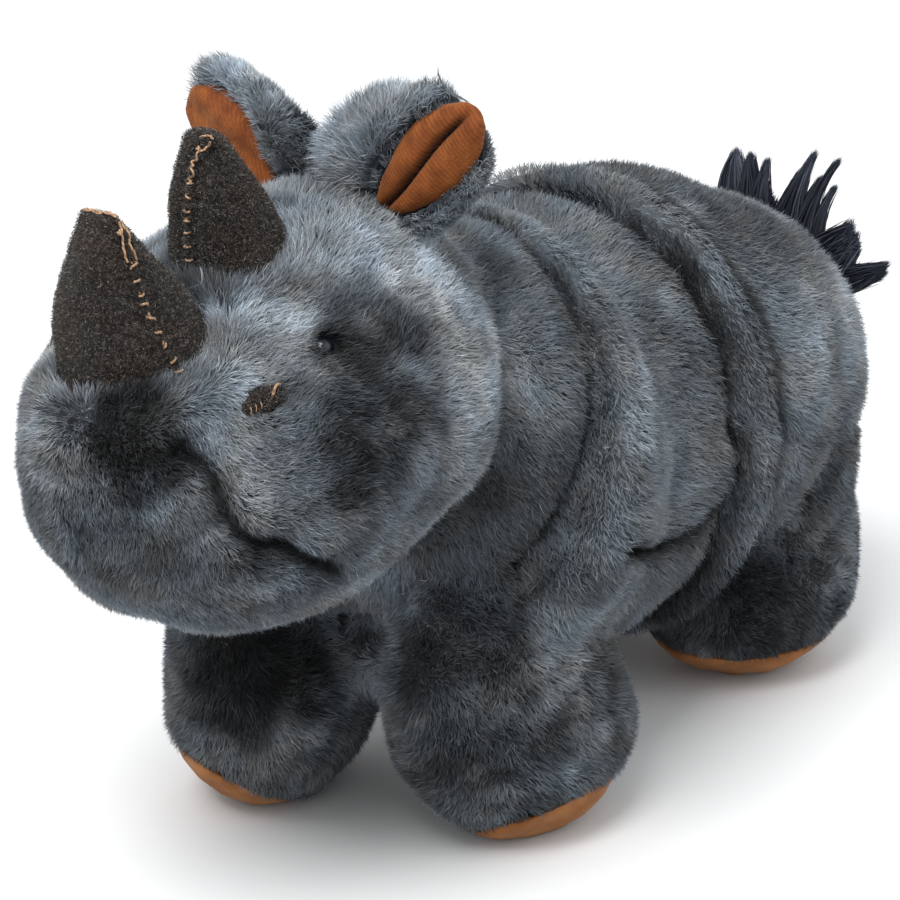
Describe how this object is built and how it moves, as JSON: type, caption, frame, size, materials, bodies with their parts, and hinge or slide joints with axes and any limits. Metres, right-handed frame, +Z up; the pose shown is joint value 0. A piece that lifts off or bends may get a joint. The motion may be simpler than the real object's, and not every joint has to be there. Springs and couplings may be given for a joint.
{
  "type": "plush toy rhinoceros",
  "caption": "Stuffed grey plush toy rhinoceros, standing, with felt horns, velour-lined ears, sewn folds across its body, suede soles and a ragged yarn tail.",
  "frame": {"origin": "on the floor, under the middle of the toy's box", "axes": "+X towards the nose, +Y towards the toy's left, +Z up"},
  "size_m": [0.3112, 0.1274, 0.1882],
  "materials": {
    "plush": "dense soft pile, charcoal at the root and silver grey at the tip",
    "velour": "rust velour with fine cross ribs",
    "felt": "dark brown wool felt with tan hand stitches",
    "eye": "polished black",
    "suede": "tan brushed suede",
    "yarn": "dark navy yarn in stiff ragged locks"
  },
  "bodies": {
    "root": {"ear_left": "plush", "ear_lining_left": "velour", "ear_lining_right": "velour", "ear_right": "plush", "eye_left": "eye", "eye_right": "eye", "flank": "plush", "head": "plush", "horn_front": "felt", "horn_rear": "felt", "leg_front_left": "plush", "leg_front_right": "plush", "leg_rear_left": "plush", "leg_rear_right": "plush", "nostril_left": "felt", "nostril_right": "felt", "rump": "plush", "shoulders": "plush", "sole_front_left": "suede", "sole_front_right": "suede", "sole_rear_left": "suede", "sole_rear_right": "suede", "tail": "yarn"}
  },
  "joints": []
}
